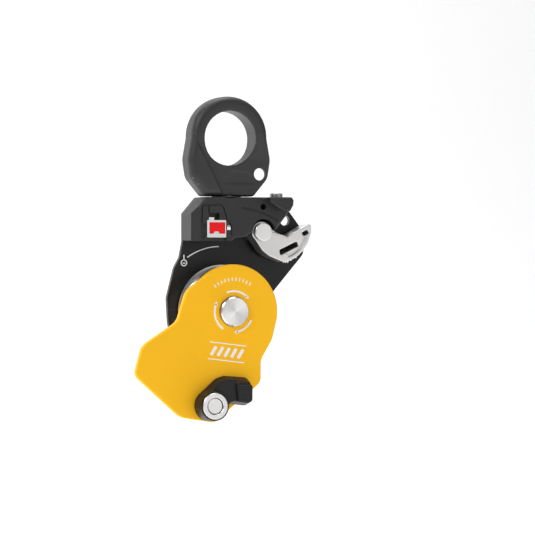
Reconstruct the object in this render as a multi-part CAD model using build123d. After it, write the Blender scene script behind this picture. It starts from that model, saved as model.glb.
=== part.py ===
from build123d import *
import math
import os

# Swivel rope pulley with a toothed cam.  Millimetres, +Z up, front is -Y.
# The origin is the centre of the swivel eye's hole.  Outlines are given as (x, z) about the
# sheave axle, and at() carries them down into the part's own frame.  A third value in an
# outline's corner is that corner's radius.

# Main layout
AXLE_DROP = 89.0
SHEAVE_HALF = 7.5
SIDE_GAP = 0.5
PLATE_THICKNESS = 3.0
PLATE_INNER = SHEAVE_HALF + SIDE_GAP
PLATE_OUTER = PLATE_INNER + PLATE_THICKNESS
PLATE_CHAMFER = 0.5
RUN_GAP = 0.05
FREE_GAP = 0.3
# How far a cutting tool runs past the face that it opens
OVER = 1.0

# Swivel eye, about the eye's own centre
EYE_HOLE = 14.0
EYE_HALF = 7.2
EYE_TOP_RADIUS = 20.9
EYE_TOP_RISE = 0.7
EYE_BASE = -29.8
EYE_RIM_ROUND = 4.2
EYE_HOLE_ROUND = 1.4
EYE_FLANK = [(13.6, EYE_BASE, 1.5), (21.4, -20.6, 7.0), (22.9, -11.0, 10.0), (20.8, EYE_TOP_RISE, 0)]
WEB_FRONT = -5.2
WEB_LAND = [(-20.9, 3.0), (-3.1, -31.0), (26.0, -31.0), (26.0, 3.0)]
WEB_FLAT_TOP = -11.0
WEB_RAMP_TOP = 3.0
WEB_LOW = -31.0
WEB_HALF_WIDTH = 30.0
BADGE_DEPTH = 0.4
BADGE = [(0.4, -16.9), (10.2, -16.9), (13.6, -23.6), (-3.6, -23.6)]
KEEPER_SPOT = (16.8, -18.3)
KEEPER_RADIUS = 3.2
KEEPER_LAND = 4.6
KEEPER_MOUTH = 8.6
KEEPER_BACK = -2.2
KEEPER_RIM = 4.2

# Swivel bolt and its washers
BOLT_RADIUS = 4.0
BOLT_HEAD_RADIUS = 5.2
BOLT_HEAD_LOW = 44.4
BOLT_HEAD_HIGH = 48.4
BOLT_HEAD_CHAMFER = 0.3
BOLT_SOCKET = 2.5
BOLT_SOCKET_DEPTH = 2.2
BOLT_WELL_RADIUS = 5.6
BOLT_WELL_TOP = 49.5
BOLT_TOP = 69.5
WASHER_RADIUS = 7.6
WELL_WASHER_RADIUS = BOLT_WELL_RADIUS - 0.1

# Head block
HEAD_FRONT = -7.5
HEAD_TOP = 58.8
HEAD_LOW = 36.2
HEAD_LEFT = -20.8
HEAD_EDGE = 0.7
HEAD_OUTLINE = [
    (HEAD_LEFT, HEAD_LOW, 0.8), (HEAD_LEFT, 50.4, 1.0), (-13.6, HEAD_TOP, 1.2), (33.0, HEAD_TOP, 1.2),
    (32.4, 51.6, 1.0), (24.6, 41.9, 0), (12.5, 40.9, 0), (7.6, 38.4, 2.5), (2.0, 37.7, 1.2),
    (0.4, HEAD_LOW, 0.9),
]
CORNER_BEVEL_LEFT = -22.5
CORNER_BEVEL_RIGHT = -15.4
CORNER_BEVEL_FRONT = HEAD_FRONT - 2.0
CORNER_BEVEL_BACK = HEAD_FRONT + 5.1
HEAD_PIN_SPOT = (17.7, 53.8)
HEAD_PIN_RADIUS = 1.6
HEAD_PIN_DEPTH = 5.0

# Lines cut in the head's front
ENGRAVE_WIDTH = 0.7
ENGRAVE_DEPTH = 0.6
ENGRAVED_BORDER = [
    (-16.3, 39.9), (-15.9, 54.3), (-6.3, 54.7), (-4.4, 53.4), (-2.5, 47.9), (-0.1, 44.4), (0.2, 39.2),
]
ENGRAVED_MARK = [(-12.3, 50.4), (-12.3, 54.6)]
ENGRAVED_ARC = [(6.0, 53.2), (16.4, 50.8), (25.7, 46.6)]
ENGRAVED_ARC_WIDTH = ENGRAVE_WIDTH * 1.6

# Indicator's room in the head, as (left, right, front, back, low, high)
LOCK_SLOT = (-12.3, -6.5, HEAD_FRONT - OVER, -4.6, 46.0, 50.5)
SIDE_RECESS = (-16.2, -13.0, HEAD_FRONT - OVER, HEAD_FRONT + 1.4, 37.6, 45.2)
SLIDER_POCKET = (-13.4, -2.6, HEAD_FRONT - OVER, -5.9, HEAD_LOW - OVER, 47.1)
SPRING_CHANNEL = (-9.6, -5.4, -6.5, -3.3, 38.4, 46.6)

# Indicator
SLIDER_FRONT = -7.35
SLIDER_BACK = -6.0
SLIDER_FLOOR = -6.3
SLIDER_LOW = 38.0
SLIDER_HIGH = 46.9
SLIDER_LEFT = -13.2
SLIDER_RIGHT = -2.8
SLIDER_CORNER = 0.5
WINDOW_LEFT = -12.0
WINDOW_RIGHT = -3.3
WINDOW_LOW = 39.9
WINDOW_HIGH = 45.8
WINDOW_CORNER = 0.3
SLIDER_TAB = (-12.0, -9.2, -6.9, SLIDER_BACK, 46.0, 48.3)
SPRING_LUG = (-9.0, -6.0, -6.1, -3.7, 44.8, 46.4)
RED_FRONT = -7.0
RED_NOTCH = [(-5.6, WINDOW_LOW, 0.2), (-6.4, 41.1, 0.6), (-8.9, 41.1, 0.6), (-9.7, WINDOW_LOW, 0.2)]
SLIDER_SPRING_FOOT = (-7.5, -4.8, 38.75)
SLIDER_SPRING_RADIUS = 0.9
SLIDER_SPRING_WIRE = 0.25
SLIDER_SPRING_PITCH = 1.15
SLIDER_SPRING_TURNS = 4.9

# Fixed side plate
FIXED_OUTLINE = [
    (HEAD_LEFT, 36.0, 3.0), (HEAD_LEFT, 50.4, 1.0), (-13.6, HEAD_TOP, 1.2), (33.0, HEAD_TOP, 1.2),
    (44.6, 43.9, 3.0), (47.6, 36.4, 6.0), (46.2, 29.4, 6.0), (25.0, 5.0, 24.0), (24.6, -14.0, 12.0),
    (13.0, -29.0, 6.0), (13.0, -50.0, 14.9), (-17.0, -50.0, 14.9), (-17.0, -29.0, 6.0),
    (-28.6, -8.0, 14.0), (-29.4, 7.0, 8.0), (-25.4, 22.5, 6.0), (-22.4, 27.8, 4.0),
]
LOWER_EYE = (-2.0, -35.0)
LOWER_EYE_HOLE = 9.0
SIDE_HOLE = (36.0, 47.2)
SIDE_HOLE_RADIUS = 2.7
RIVET_SPOTS = [(-15.5, 42.0), (9.0, 54.5), (25.0, 50.0)]
RIVET_RADIUS = 1.8
RIVET_REACH = 6.0
RIVET_HEAD = 3.0
RIVET_HEAD_HIGH = 1.2
RIVET_HEAD_ROUND = 0.8

# Hook block and its screw
HOOK_LIP = [
    (18.8, HEAD_TOP, 0.8), (30.6, HEAD_TOP, 1.0), (31.7, 57.3, 0.8), (31.6, 54.8, 1.0),
    (29.8, 51.6, 0.8), (27.2, 51.6, 0.8), (23.6, 53.4, 1.5), (18.8, 56.5, 0.8),
]
HOOK_FRONT = -15.0
HOOK_LIP_BACK = -11.4
HOOK_CHAMFER = 0.6
HOOK_TONGUE = (19.5, 31.6, HEAD_FRONT, 2.5, 55.2, HEAD_TOP)
HOOK_SEAT = (19.5, 31.6, HEAD_FRONT - OVER, 2.5, 55.2, HEAD_TOP + OVER)
HOOK_SCREW_SPOT = (27.0, -2.0)
HOOK_SCREW_RADIUS = 1.6
HOOK_SCREW_LOW = 48.0
HOOK_SCREW_HOLE_LOW = 47.0
HOOK_SCREW_HEAD = 3.35
HOOK_SCREW_HEAD_HIGH = 2.2
HOOK_SCREW_HEAD_ROUND = 0.6
HOOK_SCREW_SOCKET = 1.85
HOOK_SCREW_SOCKET_FLOOR = 1.0

# Cam
CAM_PIVOT = (18.0, 41.0)
CAM_HALF = 5.0
CAM_HUB = 5.5
CAM_NOTCH = 6.6
CAM_PIN = 3.0
CAM_BUSH = 4.0
CAM_HEAD = 4.7
CAM_HEAD_FRONT = -7.6
CAM_HEAD_BACK = -6.3
CAM_HEAD_ROUND = 0.6
CAM_PIN_END = PLATE_OUTER + 0.9
CAM_CLIP_WIDTH = 1.8
CAM_CLIP_THICK = 0.7
CAM_FACE_CENTRE = (26.6, 44.0)
CAM_FACE_RADIUS = 19.1
CAM_FACE_START = -4.0
CAM_FACE_MIDDLE = -40.0
CAM_FACE_END = -78.0
CAM_BACK = [
    (22.3, 28.4), (18.2, 31.3), (12.9, 38.9), (20.0, 46.1), (25.5, 41.0), (31.8, 38.4),
    (40.6, 43.4), (43.9, 45.1), (45.4, 44.9),
]
CAM_SLOT = [(27.8, 31.7, 0.5), (37.2, 36.1, 0.7), (39.1, 33.8, 0.6), (28.3, 29.0, 0.5)]
CAM_WINDOW = [(39.9, 40.5, 0.4), (43.2, 42.3, 0.4), (44.2, 40.6, 0.4), (42.2, 39.0, 0.4)]
HOLLOW_ANGLES = (-16.0, -42.0, -68.0)
HOLLOW_INSET = 3.0
HOLLOW_WIDTH = 2.4
HOLLOW_DEPTH = 1.4
TOOTH_HEIGHT = 1.2
TOOTH_RADIUS = 0.8
TOOTH_TIP = 0.12
TOOTH_ROOT = 0.2
TOOTH_PITCH = 3.0
TOOTH_ROWS = 9
TOOTH_FIRST_ANGLE = -10.0
TOOTH_STEP_ANGLE = 7.6
TEETH_ACROSS = 3
CAM_SPRING_RADIUS = 4.0
CAM_SPRING_WIRE = 0.38
CAM_SPRING_DEPTH = -5.5
CAM_SPRING_LEG_END = (31.0, 38.7)

# Sheave and bearings
GROOVE_FLOOR = 19.0
GROOVE_ROUND = 6.5
FLANGE_RADIUS = 24.0
WEB_HALF = 7.0
WEB_STEP_IN = 14.0
WEB_STEP_OUT = 15.0
INNER_RACE = 7.2
OUTER_RACE_IN = 9.2
OUTER_RACE_OUT = 11.5
BALL_PITCH = 8.2
BALL_RADIUS = 1.55
BALLS_PER_RING = 10
BEARING_MIDS = (-3.6, 3.6)
BEARING_HALF = 3.3
BEARING_REACH = BEARING_MIDS[1] + BEARING_HALF
RACE_GAP = BEARING_MIDS[1] - BEARING_HALF
CAGE_OUTER = 8.8
CAGE_INNER = 7.6
CAGE_HALF = 2.1
SEAL_THICK = 0.6
SEAL_LIP_GAP = 0.15

# Sheave axle and its nut
AXLE_RADIUS = 5.0
AXLE_END = 15.4
AXLE_CAP = 7.6
AXLE_CAP_HIGH = 2.3
AXLE_CHAMFER = 0.5
AXLE_SEAT_GAP = 0.1
NUT_RADIUS = 8.6
NUT_HIGH = 3.6

# Moving side plate, which swings about the axle
SWING_OUTLINE = [
    (0.0, 8.0, 0), (-17.1, 17.1, 0), (-25.8, 10.5, 9.0), (-30.6, -5.0, 8.0), (-49.4, -17.0, 8.0),
    (-53.6, -32.0, 5.0), (-28.9, -53.8, 12.0), (-10.6, -56.7, 3.0), (15.0, -36.4, 5.0),
    (15.0, -25.0, 8.0), (21.3, -14.4, 12.0), (23.44, -6.0, 0),
]
SWING_ROUND = 24.2
PLATE_SWEEP = 62.4
HOOK_SWEEP_GAP = 0.7
PLATE_BUSH = 8.0

# Catch on the moving side plate
CATCH_SPOT = (-13.7, -47.8)
CATCH_BACK = -11.3
CATCH_FRONT = -20.4
POST_RADIUS = 5.6
POST_NECK = 4.0
POST_WELL = 4.3
POST_WELL_FLOOR = -12.6
POST_FRONT = -19.6
RING_RADIUS = 6.7
RING_FRONT = CATCH_FRONT - 0.3
RING_CHAMFER = 0.25
DISC_RADIUS = 4.0
DISC_FRONT = -20.2
DISC_BACK = -19.0
DISC_CHAMFER = 0.3
LOCK_PIN = 1.45
LOCK_PIN_CHAMFER = 0.4
BOSS_BACK_RADIUS = 8.2
BOSS_FRONT_RADIUS = 7.5
LEVER_OUTLINE = [
    (-20.9, -43.2, 3.0), (-10.4, -34.0, 4.0), (-5.9, -32.6, 5.0), (6.5, -33.6, 3.0),
    (9.2, -36.6, 2.5), (9.0, -46.6, 2.5), (5.8, -48.4, 2.0), (-2.4, -47.3, 3.0),
    (-6.9, -52.1, 3.0), (-12.2, -55.6, 3.0), (-18.0, -54.0, 4.0),
]
LEVER_HIGH = 5.2
LEVER_TAPER = 20
LEVER_ROUND = 0.7
THUMB_OUTLINE = [
    (-2.2, -35.0, 2.0), (6.2, -35.2, 2.0), (8.4, -38.0, 2.0), (8.3, -45.9, 2.0),
    (5.6, -47.6, 1.5), (-1.0, -46.8, 2.0),
]
THUMB_HIGH = 7.4
THUMB_TAPER = 6
THUMB_ROUND = 1.2
CATCH_SPRING_RADIUS = 2.6
CATCH_SPRING_WIRE = 0.28
CATCH_SPRING_PITCH = 1.15
CATCH_SPRING_TURNS = 4.7
CATCH_SPRING_FOOT = POST_WELL_FLOOR - 0.35

UPWARD = (Align.CENTER, Align.CENTER, Align.MIN)


# ---------------------------------------------------------------- drawing and solid helpers


def at(x, z):
    return (x, z - AXLE_DROP)


def slab(face, front, back):
    """A face drawn in (x, z), made solid from the depth front to the depth back, whichever way it winds."""
    return extrude(Plane.XZ.offset(-back) * face, amount=back - front, dir=(0, -1, 0))


def drum(radius, front, back, centre=(0, 0)):
    return slab(Pos(*at(*centre)) * Circle(radius), front, back)


def tube(outer, inner, front, back, centre=(0, 0)):
    return drum(outer, front, back, centre) - drum(inner, front, back, centre)


def upright(radius, low, high, x=0, y=0):
    """A drum about a vertical line, between two heights above the axle."""
    return Pos(x, y, low - AXLE_DROP) * extrude(Circle(radius), amount=high - low)


def block(room):
    """A box from its left, right, front, back, low and high."""
    left, right, front, back, low, high = room
    middle = ((left + right) / 2, (front + back) / 2, (low + high) / 2 - AXLE_DROP)
    return Pos(*middle) * Box(right - left, back - front, high - low)


def rounded(corners):
    """A face with straight edges and a radius of its own at each corner (x, z, radius)."""
    points = [at(x, z) for x, z, _ in corners]
    radii = [radius for _, _, radius in corners]
    return make_face(FilletPolyline(*points, radius=radii, close=True))


def engraved(points):
    """A narrow line along a run of points, as a face."""
    return trace(Polyline(*[at(x, z) for x, z in points]), ENGRAVE_WIDTH)


def coil(radius, wire, pitch, turns):
    """A round-wire spring that stands on its own origin along +Z."""
    path = Helix(pitch=pitch, height=pitch * turns, radius=radius)
    section = Plane(origin=path @ 0, z_dir=path % 0) * Circle(wire)
    return sweep(section, path=path, is_frenet=True)


def front_edges(shape):
    return shape.edges().group_by(Axis.Y)[0]


def back_edges(shape):
    return shape.edges().group_by(Axis.Y)[-1]


def group(*pieces):
    solids = [solid for piece in pieces for solid in piece.solids()]
    return Compound(solids)


# ---------------------------------------------------------------- swivel


def eye_outline():
    mirrored = [(-x, z, radius) for x, z, radius in reversed(EYE_FLANK)]
    sides = [(x, z + AXLE_DROP, radius) for x, z, radius in EYE_FLANK + mirrored]
    return rounded(sides) + Pos(0, EYE_TOP_RISE) * Circle(EYE_TOP_RADIUS)


def web_cut():
    """The lowered web on one side: right of a slanting crease, with a floor that ramps up to the ring."""
    clear = -EYE_HALF - 2 * OVER
    proud = -EYE_HALF - 0.1
    land = Polygon(*WEB_LAND, align=None)
    ramp = Polygon((clear, WEB_LOW), (WEB_FRONT, WEB_LOW), (WEB_FRONT, WEB_FLAT_TOP),
                   (proud, WEB_RAMP_TOP), (clear, WEB_RAMP_TOP), align=None)
    wedge = Pos(-WEB_HALF_WIDTH, 0, 0) * extrude(Plane.YZ * ramp, amount=2 * WEB_HALF_WIDTH)
    badge = Polygon(*BADGE, align=None)
    return (slab(land, clear, 0) & wedge) + slab(badge, clear, WEB_FRONT + BADGE_DEPTH)


def keeper_dish():
    """A sloping dish behind the keeper hole that thins the lug there."""
    cone = Cone(KEEPER_LAND, KEEPER_MOUTH, EYE_HALF - KEEPER_BACK, align=UPWARD)
    dish = Pos(KEEPER_SPOT[0], KEEPER_BACK, KEEPER_SPOT[1]) * Rot(-90, 0, 0) * cone
    return dish - slab(Circle(EYE_HOLE + KEEPER_RIM), KEEPER_BACK - OVER, EYE_HALF + OVER)


def swivel_eye():
    body = slab(eye_outline(), -EYE_HALF, EYE_HALF)
    rims = front_edges(body) + back_edges(body)
    body = fillet([edge for edge in rims if edge.center().Z > EYE_BASE + OVER], EYE_RIM_ROUND)
    body -= slab(Circle(EYE_HOLE), -EYE_HALF - OVER, EYE_HALF + OVER)
    mouths = [edge for edge in body.edges().filter_by(GeomType.CIRCLE)
              if math.isclose(edge.radius, EYE_HOLE, abs_tol=RUN_GAP)]
    body = fillet(mouths, EYE_HOLE_ROUND)
    body -= web_cut()
    body -= Rot(0, 0, 180) * web_cut()
    body -= keeper_dish()
    body -= slab(Pos(*KEEPER_SPOT) * Circle(KEEPER_RADIUS), -EYE_HALF - OVER, EYE_HALF + OVER)
    return body - upright(BOLT_RADIUS, EYE_BASE + AXLE_DROP - OVER, BOLT_TOP)


def swivel_bolt():
    bolt = upright(BOLT_HEAD_RADIUS, BOLT_HEAD_LOW, BOLT_HEAD_HIGH)
    bolt += upright(BOLT_RADIUS, BOLT_HEAD_HIGH, BOLT_TOP)
    socket = extrude(RegularPolygon(BOLT_SOCKET, 6), amount=BOLT_SOCKET_DEPTH)
    bolt -= Pos(0, 0, BOLT_HEAD_LOW - AXLE_DROP) * socket
    return chamfer(bolt.edges().group_by(Axis.Z)[0], BOLT_HEAD_CHAMFER)


def swivel_washers():
    """The washer between the eye and the head, and the one above the bolt's head in its well."""
    eye_low = EYE_BASE + AXLE_DROP
    bore = BOLT_RADIUS + RUN_GAP
    upper = upright(WASHER_RADIUS, HEAD_TOP, eye_low - RUN_GAP)
    upper -= upright(bore, HEAD_TOP - OVER, eye_low)
    lower = upright(WELL_WASHER_RADIUS, BOLT_HEAD_HIGH + RUN_GAP, BOLT_WELL_TOP)
    lower -= upright(bore, BOLT_HEAD_HIGH, BOLT_WELL_TOP + OVER)
    return group(upper, lower)


# ---------------------------------------------------------------- fixed frame


def latch_recess():
    """The lock slot, the recess beside it, the indicator's pocket and its spring channel."""
    return block(LOCK_SLOT) + block(SIDE_RECESS) + block(SLIDER_POCKET) + block(SPRING_CHANNEL)


def head_engraving():
    arc = trace(ThreePointArc(*[at(x, z) for x, z in ENGRAVED_ARC]), ENGRAVED_ARC_WIDTH)
    lines = [engraved(ENGRAVED_BORDER), arc, engraved(ENGRAVED_MARK)]
    return group(*[slab(line, HEAD_FRONT - OVER, HEAD_FRONT + ENGRAVE_DEPTH) for line in lines])


def corner_bevel():
    """The wedge taken off the head's left front corner, from top to bottom."""
    wedge = Polygon((CORNER_BEVEL_LEFT, CORNER_BEVEL_FRONT), (CORNER_BEVEL_RIGHT, CORNER_BEVEL_FRONT),
                    (CORNER_BEVEL_LEFT, CORNER_BEVEL_BACK), align=None)
    height = HEAD_TOP - HEAD_LOW + 2 * OVER
    return Pos(0, 0, HEAD_LOW - AXLE_DROP - OVER) * extrude(wedge, amount=height)


def head_block():
    body = slab(rounded(HEAD_OUTLINE), HEAD_FRONT, PLATE_INNER)
    body = chamfer(front_edges(body), HEAD_EDGE)
    body -= corner_bevel()
    body -= drum(CAM_NOTCH, HEAD_FRONT - OVER, PLATE_INNER + OVER, CAM_PIVOT)
    body -= latch_recess()
    body -= head_engraving()
    body -= drum(HEAD_PIN_RADIUS, HEAD_FRONT - OVER, HEAD_FRONT + HEAD_PIN_DEPTH, HEAD_PIN_SPOT)
    body -= upright(BOLT_WELL_RADIUS, HEAD_LOW - OVER, BOLT_WELL_TOP)
    body -= upright(BOLT_RADIUS + RUN_GAP, BOLT_WELL_TOP - OVER, HEAD_TOP + OVER)
    body -= block(HOOK_SEAT)
    body -= upright(HOOK_SCREW_RADIUS, HOOK_SCREW_HOLE_LOW, HEAD_TOP, *HOOK_SCREW_SPOT)
    for spot in RIVET_SPOTS:
        body -= drum(RIVET_RADIUS, PLATE_INNER - RIVET_REACH, PLATE_INNER + OVER, spot)
    return body


def fixed_side_plate():
    plate = slab(rounded(FIXED_OUTLINE), PLATE_INNER, PLATE_OUTER)
    plate = chamfer(back_edges(plate), PLATE_CHAMFER)
    holes = [((0, 0), AXLE_RADIUS), (CAM_PIVOT, CAM_PIN), (LOWER_EYE, LOWER_EYE_HOLE),
             (SIDE_HOLE, SIDE_HOLE_RADIUS)]
    holes += [(spot, RIVET_RADIUS) for spot in RIVET_SPOTS]
    for spot, radius in holes:
        plate -= drum(radius, PLATE_INNER - OVER, PLATE_OUTER + OVER, spot)
    return plate


def head_rivets():
    rivets = []
    for spot in RIVET_SPOTS:
        shank = drum(RIVET_RADIUS, PLATE_INNER - RIVET_REACH, PLATE_OUTER, spot)
        button = drum(RIVET_HEAD, PLATE_OUTER, PLATE_OUTER + RIVET_HEAD_HIGH, spot)
        rivets.append(shank + fillet(back_edges(button), RIVET_HEAD_ROUND))
    return group(*rivets)


def hook_block():
    """The hook that traps the closed plate's edge: a lip, a wall beyond its sweep and a tongue."""
    lip = rounded(HOOK_LIP)
    wall = lip - Pos(*at(0, 0)) * Circle(PLATE_SWEEP + HOOK_SWEEP_GAP)
    hook = slab(lip, HOOK_FRONT, HOOK_LIP_BACK)
    hook = chamfer(front_edges(hook), HOOK_CHAMFER)
    hook += slab(wall, HOOK_LIP_BACK, HEAD_FRONT)
    hook += block(HOOK_TONGUE)
    return hook - upright(HOOK_SCREW_RADIUS, HOOK_SCREW_LOW, HEAD_TOP + OVER, *HOOK_SCREW_SPOT)


def hook_screw():
    head_high = HEAD_TOP + HOOK_SCREW_HEAD_HIGH
    screw = upright(HOOK_SCREW_HEAD, HEAD_TOP, head_high, *HOOK_SCREW_SPOT)
    screw = fillet(screw.edges().group_by(Axis.Z)[-1], HOOK_SCREW_HEAD_ROUND)
    socket_floor = HEAD_TOP + HOOK_SCREW_SOCKET_FLOOR
    screw -= upright(HOOK_SCREW_SOCKET, socket_floor, head_high + OVER, *HOOK_SCREW_SPOT)
    return screw + upright(HOOK_SCREW_RADIUS, HOOK_SCREW_LOW, HEAD_TOP, *HOOK_SCREW_SPOT)


# ---------------------------------------------------------------- indicator


def window_corners():
    return [(WINDOW_LEFT, WINDOW_LOW, WINDOW_CORNER), (WINDOW_LEFT, WINDOW_HIGH, WINDOW_CORNER),
            (WINDOW_RIGHT, WINDOW_HIGH, WINDOW_CORNER), (WINDOW_RIGHT, WINDOW_LOW, WINDOW_CORNER)]


def indicator_slider():
    rim = rounded([(SLIDER_LEFT, SLIDER_LOW, SLIDER_CORNER), (SLIDER_LEFT, SLIDER_HIGH, SLIDER_CORNER),
                   (SLIDER_RIGHT, SLIDER_HIGH, SLIDER_CORNER), (SLIDER_RIGHT, SLIDER_LOW, SLIDER_CORNER)])
    frame = slab(rim - rounded(window_corners()), SLIDER_FRONT, SLIDER_BACK)
    floor = block((SLIDER_LEFT, SLIDER_RIGHT, SLIDER_FLOOR, SLIDER_BACK, SLIDER_LOW, SLIDER_HIGH))
    return frame + floor + block(SLIDER_TAB) + block(SPRING_LUG)


def indicator_red_tab():
    return slab(rounded(window_corners() + RED_NOTCH), RED_FRONT, SLIDER_FLOOR)


def indicator_spring():
    x, y, z = SLIDER_SPRING_FOOT
    spring = coil(SLIDER_SPRING_RADIUS, SLIDER_SPRING_WIRE, SLIDER_SPRING_PITCH, SLIDER_SPRING_TURNS)
    return Pos(x, y, z - AXLE_DROP) * spring


# ---------------------------------------------------------------- sheave


def sheave():
    """A grooved wheel turned about Y: rim, web and bearing seat."""
    centre = GROOVE_FLOOR + GROOVE_ROUND
    half_mouth = math.sqrt(GROOVE_ROUND**2 - (centre - FLANGE_RADIUS)**2)
    back_side = Polyline(
        (OUTER_RACE_OUT, -WEB_HALF), (OUTER_RACE_OUT, WEB_HALF), (WEB_STEP_IN, WEB_HALF),
        (WEB_STEP_OUT, SHEAVE_HALF), (FLANGE_RADIUS, SHEAVE_HALF), (FLANGE_RADIUS, half_mouth))
    groove = ThreePointArc((FLANGE_RADIUS, half_mouth), (GROOVE_FLOOR, 0), (FLANGE_RADIUS, -half_mouth))
    front_side = Polyline(
        (FLANGE_RADIUS, -half_mouth), (FLANGE_RADIUS, -SHEAVE_HALF), (WEB_STEP_OUT, -SHEAVE_HALF),
        (WEB_STEP_IN, -WEB_HALF), (OUTER_RACE_OUT, -WEB_HALF))
    profile = make_face(back_side + groove + front_side)
    return Pos(0, 0, -AXLE_DROP) * revolve(profile, Axis.Y)


def race_ring(outer, inner, middle):
    ring = tube(outer, inner, middle - BEARING_HALF, middle + BEARING_HALF)
    track = Pos(0, middle, -AXLE_DROP) * Rot(90, 0, 0) * Torus(BALL_PITCH, BALL_RADIUS + RUN_GAP)
    return ring - track


def bearing_inner_races():
    return group(*[race_ring(INNER_RACE, AXLE_RADIUS, middle) for middle in BEARING_MIDS])


def bearing_outer_races():
    return group(*[race_ring(OUTER_RACE_OUT, OUTER_RACE_IN, middle) for middle in BEARING_MIDS])


def ball_spots():
    for turn in range(BALLS_PER_RING):
        angle = 2 * math.pi * turn / BALLS_PER_RING
        yield BALL_PITCH * math.cos(angle), BALL_PITCH * math.sin(angle) - AXLE_DROP


def bearing_balls():
    return group(*[Pos(x, middle, z) * Sphere(BALL_RADIUS)
                   for middle in BEARING_MIDS for x, z in ball_spots()])


def bearing_cages():
    cages = []
    for middle in BEARING_MIDS:
        ring = tube(CAGE_OUTER, CAGE_INNER, middle - CAGE_HALF, middle + CAGE_HALF)
        for x, z in ball_spots():
            outward = Plane(origin=(x, middle, z), z_dir=(x, 0, z + AXLE_DROP))
            ring -= outward * Cylinder(BALL_RADIUS + RUN_GAP, BALL_RADIUS * 3)
        cages.append(ring)
    return group(*cages)


def bearing_seals():
    bore = INNER_RACE + SEAL_LIP_GAP
    back = tube(OUTER_RACE_IN, bore, BEARING_REACH - SEAL_THICK, BEARING_REACH)
    front = tube(OUTER_RACE_IN, bore, -BEARING_REACH, SEAL_THICK - BEARING_REACH)
    return group(back, front)


def sheave_axle():
    """The axle, with a turned cap in front of the moving plate and a threaded end behind."""
    shaft = drum(AXLE_RADIUS, -PLATE_OUTER - AXLE_SEAT_GAP, AXLE_END)
    shaft = chamfer(back_edges(shaft), AXLE_CHAMFER)
    cap = drum(AXLE_CAP, -PLATE_OUTER - AXLE_CAP_HIGH, -PLATE_OUTER - AXLE_SEAT_GAP)
    return chamfer(front_edges(cap), AXLE_CHAMFER) + shaft


def axle_nut():
    nut = slab(Pos(*at(0, 0)) * RegularPolygon(NUT_RADIUS, 6), PLATE_OUTER, PLATE_OUTER + NUT_HIGH)
    return nut - drum(AXLE_RADIUS, PLATE_OUTER - OVER, PLATE_OUTER + NUT_HIGH + OVER)


def axle_spacers():
    """Sleeves outside the bearings and a thin one between their inner races."""
    back = tube(INNER_RACE, AXLE_RADIUS, BEARING_REACH, PLATE_INNER)
    middle = tube(INNER_RACE, AXLE_RADIUS, -RACE_GAP, RACE_GAP)
    front = tube(INNER_RACE, AXLE_RADIUS, -PLATE_INNER + AXLE_SEAT_GAP, -BEARING_REACH)
    return group(back, middle, front)


# ---------------------------------------------------------------- cam


def on_cam_face(degrees, inset=0.0):
    """A point on the cam's working arc, or inside it, in the part's frame (x, z)."""
    x, z = CAM_FACE_CENTRE
    reach = CAM_FACE_RADIUS - inset
    angle = math.radians(degrees)
    return at(x + reach * math.cos(angle), z + reach * math.sin(angle))


def cam_outline():
    start = on_cam_face(CAM_FACE_START)
    end = on_cam_face(CAM_FACE_END)
    back = Polyline(end, *[at(x, z) for x, z in CAM_BACK], start)
    return make_face(ThreePointArc(start, on_cam_face(CAM_FACE_MIDDLE), end) + back)


def cam_teeth():
    """Rows of small pointed teeth on the working arc, every other row offset."""
    tooth = Cone(TOOTH_RADIUS, TOOTH_TIP, TOOTH_HEIGHT + TOOTH_ROOT, align=UPWARD)
    for row in range(TOOTH_ROWS):
        degrees = TOOTH_FIRST_ANGLE - TOOTH_STEP_ANGLE * row
        x, z = on_cam_face(degrees, TOOTH_ROOT)
        outward = (math.cos(math.radians(degrees)), 0, math.sin(math.radians(degrees)))
        count = TEETH_ACROSS - row % 2
        for place in range(count):
            depth = (place - (count - 1) / 2) * TOOTH_PITCH
            yield Plane(origin=(x, depth, z), z_dir=outward) * tooth


def cam():
    hub = Pos(*at(*CAM_PIVOT)) * Circle(CAM_HUB)
    body = slab(cam_outline() + hub, -CAM_HALF, CAM_HALF)
    through = CAM_HALF + OVER
    for opening in (CAM_SLOT, CAM_WINDOW):
        body -= slab(rounded(opening), -through, through)
    curve = ThreePointArc(*[on_cam_face(degrees, HOLLOW_INSET) for degrees in HOLLOW_ANGLES])
    hollow = trace(curve, HOLLOW_WIDTH)
    body -= slab(hollow, -through, HOLLOW_DEPTH - CAM_HALF)
    body -= slab(hollow, CAM_HALF - HOLLOW_DEPTH, through)
    for tooth in cam_teeth():
        body += tooth
    return body - drum(CAM_BUSH, -through, through, CAM_PIVOT)


def cam_bushing():
    return tube(CAM_BUSH, CAM_PIN + RUN_GAP, -CAM_HALF, CAM_HALF, CAM_PIVOT)


def cam_pivot_pin():
    pin = drum(CAM_PIN, CAM_HEAD_BACK, CAM_PIN_END, CAM_PIVOT)
    head = drum(CAM_HEAD, CAM_HEAD_FRONT, CAM_HEAD_BACK, CAM_PIVOT)
    return pin + fillet(front_edges(head), CAM_HEAD_ROUND)


def cam_pin_spacer():
    return tube(CAM_HUB - FREE_GAP, CAM_PIN, CAM_HALF + FREE_GAP, PLATE_INNER, CAM_PIVOT)


def cam_pin_clip():
    return tube(CAM_PIN + CAM_CLIP_WIDTH, CAM_PIN, PLATE_OUTER, PLATE_OUTER + CAM_CLIP_THICK, CAM_PIVOT)


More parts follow.
